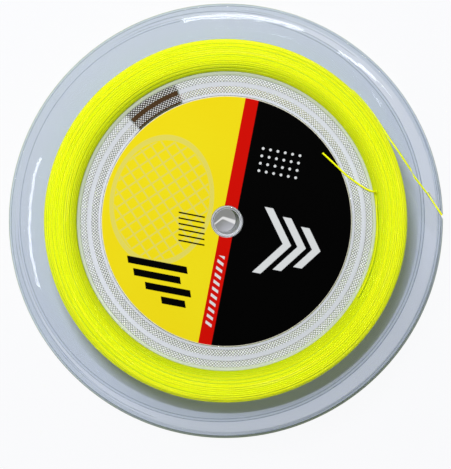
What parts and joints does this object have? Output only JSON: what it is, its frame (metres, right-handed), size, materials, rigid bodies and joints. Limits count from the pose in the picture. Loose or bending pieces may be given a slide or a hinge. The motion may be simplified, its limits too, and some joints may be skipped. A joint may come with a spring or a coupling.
{
  "type": "string reel",
  "caption": "Clear flanged plastic reel wound with bright racket string, with a round label on its recessed hub face and a spindle bore through the middle.",
  "frame": {"origin": "on the axis of the spindle bore, in the plane that the rear rim rests on", "axes": "+Z along the spindle bore, out of the front face; +X towards the rim where the slit holds the string's end, +Y to the label's top"},
  "size_m": [0.15, 0.15, 0.028],
  "materials": {
    "clear_plastic": "clear, glossy",
    "label_paper": "printed gloss paper",
    "brown_tape": "satin",
    "string": "satin fluorescent"
  },
  "bodies": {
    "root": {"front_half": "clear_plastic", "rear_half": "clear_plastic", "front_label": "label_paper", "rear_label": "label_paper", "core_tape": "brown_tape", "string_winding": "string", "string_start": "string", "string_end": "string"}
  },
  "joints": []
}
